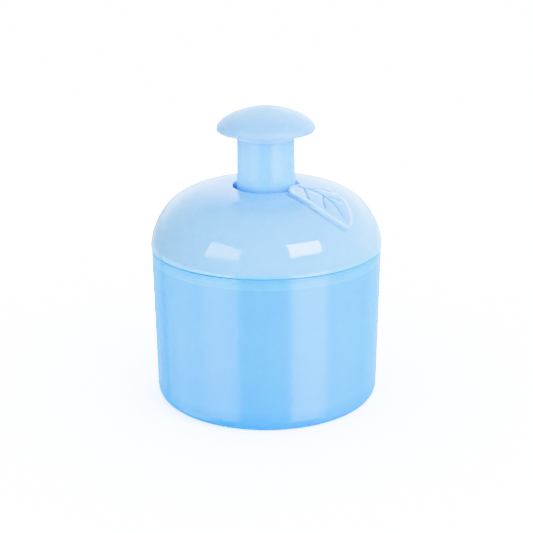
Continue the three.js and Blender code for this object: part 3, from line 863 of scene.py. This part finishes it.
def blue_plastic(name, lo=(122, 199, 248), hi=(125, 201, 250), cup=False, stem=False, glow=0.15):
    """Milky translucent blue polypropylene, with a painted glow for light that comes through the walls. On the
    cup: painted shade deepening towards the bottom, deepest in the thick corner, which is partly the plastic's
    own colour; the plug and ledge inside painted through the rim as a lighter band and a highlight line; painted
    shade under the lid's edge. The stem has painted shade where it meets the lid."""
    m = Nodes(name)
    tone = m.noise(14.0, 2.0, 0.5)
    base = m.mix(m.map(tone, 0.35, 0.65, 0, 1), srgb(*lo), srgb(*hi))
    x, y, z = m.position()
    if stem:
        # painted shade where the stem meets the lid, with less painted glow there
        foot = m.math("POWER", m.map(z, 0.0751, 0.0778, 1.0, 0.0), 1.4)
        base = m.mix(m.math("MULTIPLY", foot, 0.55), base, srgb(84, 176, 238))
        glow = m.map(foot, 0.0, 1.0, glow, 0.15)
    if cup:
        # painted shade: darker, deeper blue towards the bottom
        low = m.math("POWER", m.map(z, 0.0, 0.034, 1.0, 0.0), 1.7)
        base = m.mix(m.math("MULTIPLY", low, 0.7), base, srgb(88, 192, 252))
        # deepest blue in the bottom corner: partly the thick plastic's own colour, partly painted shade
        corner = m.map(z, 0.0015, 0.008, 1.0, 0.0)
        base = m.mix(m.math("MULTIPLY", corner, 0.9), base, srgb(44, 185, 253))
        # painted light: the plug and the ledge behind the wall, shown as a lighter band
        base = m.mix(m.map(z, 0.0514, 0.0521, 0.0, 0.4), base, srgb(140, 206, 250))
        # painted highlight: a faint light line at the ledge's edge
        line = m.math("MULTIPLY", m.map(z, 0.0507, 0.0511, 0.0, 1.0), m.map(z, 0.0514, 0.0519, 1.0, 0.0))
        base = m.mix(m.math("MULTIPLY", line, 0.16), base, srgb(176, 219, 252))
        # painted shade just under the lid's edge, and less painted glow at the seam
        under = m.math("POWER", m.map(z, 0.0522, 0.0546, 0.0, 1.0), 1.4)
        base = m.mix(m.math("MULTIPLY", under, 0.62), base, srgb(92, 186, 245))
        glow = m.map(z, 0.0541, 0.0546, glow, 0.12)
    m.link(base, m.b.inputs["Base Color"])
    # painted glow standing in for light that has come through the walls from behind
    m.link(base, m.b.inputs["Emission Color"])
    if isinstance(glow, float):
        m.set(Emission_Strength=glow)
    else:
        m.link(glow, m.b.inputs["Emission Strength"])
    m.set(IOR=1.49, Subsurface_Weight=0.9, Subsurface_Scale=0.003, Subsurface_Radius=(0.35, 0.75, 1.0))
    wear = m.noise(180.0, 3.0, 0.55)
    m.link(m.map(wear, 0.3, 0.7, 0.16, 0.22), m.b.inputs["Roughness"])
    m.bump(m.noise(320.0, 2.0, 0.5), 0.06, 0.00015)
    return m.mat


def steel_wire():
    m = Nodes("spring_wire")
    draw = m.noise(900.0, 2.0, 0.6, stretch=(1, 1, 0.2))
    m.link(m.mix(m.map(draw, 0.3, 0.7, 0, 1), srgb(196, 198, 203), srgb(216, 218, 222)), m.b.inputs["Base Color"])
    m.set(Metallic=1.0)
    m.link(m.map(draw, 0.3, 0.7, 0.2, 0.36), m.b.inputs["Roughness"])
    m.bump(draw, 0.12, 0.00005)
    return m.mat


def silicone():
    m = Nodes("silicone_milky")
    tone = m.noise(60.0, 2.0, 0.5)
    m.link(m.mix(m.map(tone, 0.35, 0.65, 0, 1), srgb(228, 236, 242), srgb(238, 243, 247)), m.b.inputs["Base Color"])
    m.set(IOR=1.41, Subsurface_Weight=0.8, Subsurface_Scale=0.002, Subsurface_Radius=(1.0, 1.0, 1.0))
    m.link(m.map(m.noise(500.0), 0.3, 0.7, 0.45, 0.6), m.b.inputs["Roughness"])
    m.bump(m.noise(700.0), 0.1, 0.00008)
    return m.mat


def nylon_net():
    m = Nodes("net_nylon")
    tone = m.noise(300.0, 2.0, 0.5)
    m.link(m.mix(m.map(tone, 0.35, 0.65, 0, 1), srgb(232, 240, 247), srgb(244, 248, 251)), m.b.inputs["Base Color"])
    m.set(IOR=1.53, Subsurface_Weight=0.4, Subsurface_Scale=0.0006, Subsurface_Radius=(1.0, 1.0, 1.0))
    m.link(m.map(m.noise(1500.0, 2.0, 0.5, stretch=(1, 1, 1)), 0.3, 0.7, 0.3, 0.5), m.b.inputs["Roughness"])
    m.bump(m.noise(2500.0), 0.15, 0.00004)
    return m.mat


PALE = pale_plastic("pale_plastic")
DOME_PALE = pale_plastic("pale_plastic_dome", dome=True)
# every blue part glows with painted light: the cup more, the inner parts less
CUP_BLUE = blue_plastic("blue_plastic_cup", cup=True, glow=0.35)
# the stem's copy of the blue plastic is painted paler and glows more, for light through its thin wall
STEM_BLUE = blue_plastic("blue_plastic_stem", (160, 210, 251), (163, 212, 252), stem=True, glow=0.45)
BLUE = blue_plastic("blue_plastic")
STEEL = steel_wire()
SEAL = silicone()
NET = nylon_net()


def place(ob, body, node, mat):
    ob.data.materials.clear()
    ob.data.materials.append(mat)
    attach(ob, body)
    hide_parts(node)
    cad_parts[node].data.materials.clear()
    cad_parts[node].data.materials.append(mat)
    return ob


place(make_cup(), "cup", "cup", CUP_BLUE)
place(make_dome(), "lid", "lid_dome", DOME_PALE)
place(make_plug(), "lid", "lid_plug", BLUE)
place(make_seal(), "lid", "lid_seal_ring", SEAL)
spring = place(make_spring(), "lid", "return_spring", STEEL)
place(make_knob(), "plunger", "knob_cap", PALE)
place(make_stem(), "plunger", "stem_tube", STEM_BLUE)
place(make_rod(), "plunger", "plunger_rod", BLUE)
place(make_upper_frame(), "plunger", "disc_upper_frame", BLUE)
place(make_spacer(), "plunger", "net_spacer", BLUE)
place(make_lower_frame(), "plunger", "disc_lower_frame", BLUE)
place(make_nut(), "plunger", "disc_nut", BLUE)
net_hi = place(make_net("net_upper_weave", DISC_Z + 3.55, 0.0), "plunger", "foam_net_upper", NET)
net_lo = place(make_net("net_lower_weave", DISC_Z + 1.85, math.radians(22)), "plunger", "foam_net_lower", NET)

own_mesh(spring)


# ------------------------------------------------------------------ stage, light, camera
def direction(az, el):
    """The way from the object that is az degrees right of the camera's side and el above the floor."""
    a, e = math.radians(az), math.radians(el)
    return Vector((math.sin(a) * math.cos(e), -math.cos(a) * math.cos(e), math.sin(e)))


def panel(name, corners, strength, fade=None, dist=4.0):
    """The glowing face of a soft box, given by the directions of its corners (top left, top right,
    bottom right, bottom left). Only reflections see it. fade dims it towards its bottom edge."""
    me = bpy.data.meshes.new(name)
    c = [Vector((0, 0, 0.05)) + direction(*q) * dist for q in corners]
    n = 8
    verts, faces, v01 = [], [], []
    for j in range(n + 1):
        for i in range(n + 1):
            u, v = i / n, j / n
            top, low = c[0].lerp(c[1], u), c[3].lerp(c[2], u)
            verts.append(top.lerp(low, v))
            v01.append((u, 1 - v))
    for j in range(n):
        for i in range(n):
            k = j * (n + 1) + i
            faces.append((k, k + 1, k + n + 2, k + n + 1))
    me.from_pydata([tuple(v) for v in verts], [], faces)
    uv = me.uv_layers.new(name="across")
    for loop in me.loops:
        uv.data[loop.index].uv = v01[loop.vertex_index]
    ob = add_object(name, me)
    mat = bpy.data.materials.new(name)
    mat.use_nodes = True
    t = mat.node_tree
    t.nodes.clear()
    em = t.nodes.new("ShaderNodeEmission")
    em.inputs["Strength"].default_value = strength
    out = t.nodes.new("ShaderNodeOutputMaterial")
    t.links.new(em.outputs[0], out.inputs[0])
    if fade is not None:
        at = t.nodes.new("ShaderNodeUVMap")
        at.uv_map = "across"
        sep = t.nodes.new("ShaderNodeSeparateXYZ")
        t.links.new(at.outputs[0], sep.inputs[0])
        mr = t.nodes.new("ShaderNodeMapRange")
        mr.interpolation_type = "SMOOTHSTEP"
        mr.inputs[1].default_value, mr.inputs[2].default_value = fade[0], fade[1]
        mr.inputs[3].default_value, mr.inputs[4].default_value = fade[2], 1.0
        t.links.new(sep.outputs[1], mr.inputs[0])
        mul = t.nodes.new("ShaderNodeMath")
        mul.operation = "MULTIPLY"
        mul.inputs[1].default_value = strength
        t.links.new(mr.outputs[0], mul.inputs[0])
        t.links.new(mul.outputs[0], em.inputs["Strength"])
    mat.cycles.emission_sampling = "NONE"
    me.materials.append(mat)
    ob.visible_camera = ob.visible_diffuse = ob.visible_shadow = ob.visible_transmission = False
    return ob


def area(name, az, el, dist, width, height, power, target=(0, 0, 0.05), color=(1, 1, 1)):
    """A soft light that falls on the object without showing in it; the panels are what it reflects."""
    d = direction(az, el)
    li = bpy.data.lights.new(name, "AREA")
    li.shape = "RECTANGLE"
    li.size, li.size_y = width, height
    li.energy = power
    li.color = color
    ob = bpy.data.objects.new(name, li)
    bpy.context.scene.collection.objects.link(ob)
    ob.location = Vector(target) + d * dist
    ob.rotation_mode = "QUATERNION"
    ob.rotation_quaternion = (-d).to_track_quat("-Z", "Y")
    ob.visible_camera = False
    ob.visible_glossy = False
    return ob


FLOOR_GAIN = 22.0


def make_stage():
    s = 8.0
    me = bpy.data.meshes.new("floor")
    me.from_pydata([(-s, -s, 0), (s, -s, 0), (s, s, 0), (-s, s, 0)], [], [(0, 1, 2, 3)])
    ob = add_object("floor", me)
    ob.location.z = -0.00002
    m = Nodes("floor_white")
    m.b.inputs["Base Color"].default_value = (0.9, 0.9, 0.905, 1)
    m.set(Roughness=0.6, Specular_IOR_Level=0.2)
    me.materials.append(m.mat)
    ob.visible_glossy = False
    # the floor is lit well past white where the camera sees it, as a table under a studio sweep is
    bright = m.t.nodes.new("ShaderNodeBsdfDiffuse")
    bright.inputs["Color"].default_value = (FLOOR_GAIN, FLOOR_GAIN, FLOOR_GAIN, 1)
    mixer = m.t.nodes.new("ShaderNodeMixShader")
    path = m.t.nodes.new("ShaderNodeLightPath")
    m.link(path.outputs["Is Camera Ray"], mixer.inputs[0])
    m.link(m.b.outputs[0], mixer.inputs[1])
    m.link(bright.outputs[0], mixer.inputs[2])
    m.link(mixer.outputs[0], m.out.inputs[0])


def make_lights():
    area("softbox_right", 44, 32, 1.0, 0.74, 0.31, 7.0)
    area("softbox_left", -45, 27, 1.0, 0.70, 0.33, 2.6)
    area("fill", 0, 16, 1.4, 1.2, 0.4, 6.1)
    panel("panel_right", [(24.6, 42.6), (63.5, 38.2), (60.0, 22.6), (25.0, 23.8)], 37.0, fade=(-0.1, 0.35, 0.45))
    panel("panel_left", [(-65.7, 35.6), (-28.0, 35.6), (-28.1, 18.2), (-63.5, 15.4)], 12.0, fade=(-0.1, 0.4, 0.3))
    panel("sheen_right", [(25, -10), (63, -10), (63, -52), (25, -52)], 12.0, fade=(0.1, 0.75, 0.0))
    panel("sheen_far_right", [(63, -10), (92, -10), (92, -52), (63, -52)], 3.5)
    panel("sheen_edge_right", [(92, -10), (108, -10), (108, -52), (92, -52)], 2.5)
    panel("sheen_left", [(-66, -10), (-29, -10), (-29, -52), (-66, -52)], 7.7, fade=(0.1, 0.75, 0.0))
    panel("sheen_far_left", [(-104, -10), (-66, -10), (-66, -52), (-104, -52)], 4.2)
    panel("sheen_edge_left", [(-122, -10), (-104, -10), (-104, -52), (-122, -52)], 2.3)
    panel("sheen_back_left", [(-156, -10), (-130, -10), (-130, -52), (-156, -52)], 1.1)
    w = bpy.data.worlds.new("studio")
    bpy.context.scene.world = w
    w.use_nodes = True
    t = w.node_tree
    t.nodes.clear()
    out = t.nodes.new("ShaderNodeOutputWorld")
    seen = t.nodes.new("ShaderNodeBackground")
    seen.inputs[0].default_value = (1, 1, 1, 1)
    seen.inputs[1].default_value = 30.0
    lit = t.nodes.new("ShaderNodeBackground")
    lit.inputs[0].default_value = (0.985, 0.99, 1.0, 1)
    # a bright sweep behind the object, darker towards the camera and overhead
    at = t.nodes.new("ShaderNodeTexCoord")
    sep = t.nodes.new("ShaderNodeSeparateXYZ")
    t.links.new(at.outputs["Generated"], sep.inputs[0])

    def ramp(value, lo, hi, stops):
        mr = t.nodes.new("ShaderNodeMapRange")
        mr.inputs[1].default_value, mr.inputs[2].default_value = lo, hi
        t.links.new(value, mr.inputs[0])
        cr = t.nodes.new("ShaderNodeValToRGB")
        cr.color_ramp.interpolation = "EASE"
        e = cr.color_ramp.elements
        while len(e) < len(stops):
            e.new(0.5)
        for i, (pos, val) in enumerate(stops):
            e[i].position = (pos - lo) / (hi - lo)
            e[i].color = (val, val, val, 1)
        t.links.new(mr.outputs[0], cr.inputs[0])
        return cr.outputs[0]

    def mult(a, b):
        m = t.nodes.new("ShaderNodeMath")
        m.operation = "MULTIPLY"
        for i, x in enumerate((a, b)):
            if isinstance(x, float):
                m.inputs[i].default_value = x
            else:
                t.links.new(x, m.inputs[i])
        return m.outputs[0]

    depth = ramp(sep.outputs[1], -1.0, 1.0, WORLD_DEPTH)
    height = ramp(sep.outputs[2], -1.0, 1.0, WORLD_HEIGHT)
    side = ramp(sep.outputs[0], -1.0, 1.0, WORLD_SIDE)
    t.links.new(mult(mult(mult(depth, height), side), WORLD_LEVEL), lit.inputs[1])
    path = t.nodes.new("ShaderNodeLightPath")
    mix = t.nodes.new("ShaderNodeMixShader")
    t.links.new(path.outputs["Is Camera Ray"], mix.inputs[0])
    t.links.new(lit.outputs[0], mix.inputs[1])
    t.links.new(seen.outputs[0], mix.inputs[2])
    t.links.new(mix.outputs[0], out.inputs[0])
    vs = bpy.context.scene.view_settings
    vs.view_transform = "Khronos PBR Neutral"
    vs.look = "None"
    vs.exposure = 0.0
    vs.gamma = 1.0


# brightness of the surroundings by direction: from the camera's side to the back, from below to
# overhead, and from left to right
WORLD_LEVEL = 2.6
WORLD_DEPTH = [(-1.0, 0.2), (-0.88, 0.26), (-0.45, 0.54), (0.1, 0.6), (0.5, 1.05), (1.0, 1.6)]
WORLD_HEIGHT = [(-1.0, 0.4), (-0.06, 0.45), (0.14, 1.0), (0.5, 0.77), (0.8, 0.33), (1.0, 0.27)]
WORLD_SIDE = [(-1.0, 0.12), (-0.35, 0.62), (0.2, 1.06), (1.0, 1.35)]


def make_camera():
    cam = bpy.data.cameras.new("camera")
    cam.sensor_width = 36.0
    cam.lens = 1470.96 * 36 / 533
    cam.shift_y = 0.45 / 533
    ob = bpy.data.objects.new("camera", cam)
    bpy.context.scene.collection.objects.link(ob)
    e, dist, zt = math.radians(18.18), 512.65, 46.04
    ob.location = (0, -dist * math.cos(e) * MM, (zt + dist * math.sin(e)) * MM)
    back = Vector((0, -math.cos(e), math.sin(e)))
    q = (-back).to_track_quat("-Z", "Y")
    ob.rotation_mode = "QUATERNION"
    ob.rotation_quaternion = q @ Matrix.Rotation(math.radians(-0.332), 3, "Z").to_quaternion()
    cam.clip_start, cam.clip_end = 0.01, 50
    bpy.context.scene.camera = ob


make_stage()
make_lights()
make_camera()

bpy.context.view_layer.update()
